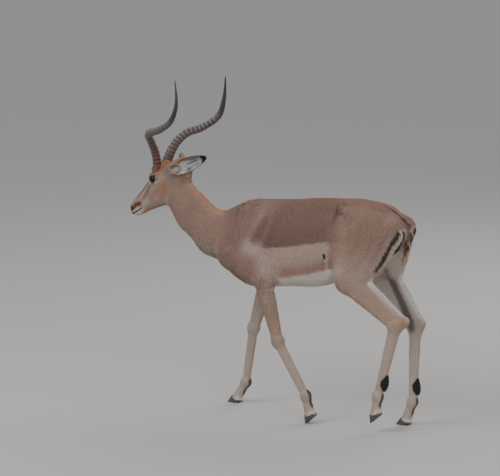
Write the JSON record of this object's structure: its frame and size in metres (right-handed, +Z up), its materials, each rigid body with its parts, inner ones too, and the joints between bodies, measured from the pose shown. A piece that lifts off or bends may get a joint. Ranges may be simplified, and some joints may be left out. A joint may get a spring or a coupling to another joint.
{
  "type": "impala antelope",
  "caption": "Life-size walking antelope ram with ringed lyre-shaped horns, standing on three of its four feet.",
  "frame": {"origin": "middle of the animal's box, on the ground", "axes": "+Z up, the ram faces -X, its left side is -Y"},
  "size_m": [1.3264, 0.4436, 1.3752],
  "materials": {
    "coat": "short red-brown hair, paler on the flank and white below",
    "leg_coat": "very short grey-tan hair",
    "ear_hide": "short hair, pale inside, black at the tip",
    "tail_hair": "longer hair, brown above with a black line, white at the edges",
    "horn": "ringed dark horn, smooth and nearly black at the tips",
    "hoof": "worn black horn",
    "eye": "wet dark eye"
  },
  "bodies": {
    "root": {"barrel": "coat", "chest": "coat", "ear_left": "ear_hide", "ear_right": "ear_hide", "eye_left": "eye", "eye_right": "eye", "fore_left_cannon": "leg_coat", "fore_left_claw_inner": "hoof", "fore_left_claw_outer": "hoof", "fore_left_pastern": "leg_coat", "fore_left_upper": "coat", "fore_right_cannon": "leg_coat", "fore_right_claw_inner": "hoof", "fore_right_claw_outer": "hoof", "fore_right_pastern": "leg_coat", "fore_right_upper": "coat", "haunch_left": "coat", "haunch_right": "coat", "head": "coat", "hind_left_cannon": "leg_coat", "hind_left_claw_inner": "hoof", "hind_left_claw_outer": "hoof", "hind_left_pastern": "leg_coat", "hind_left_upper": "coat", "hind_right_cannon": "leg_coat", "hind_right_claw_inner": "hoof", "hind_right_claw_outer": "hoof", "hind_right_pastern": "leg_coat", "hind_right_upper": "coat", "horn_left": "horn", "horn_right": "horn", "neck": "coat", "tail": "tail_hair"}
  },
  "joints": []
}
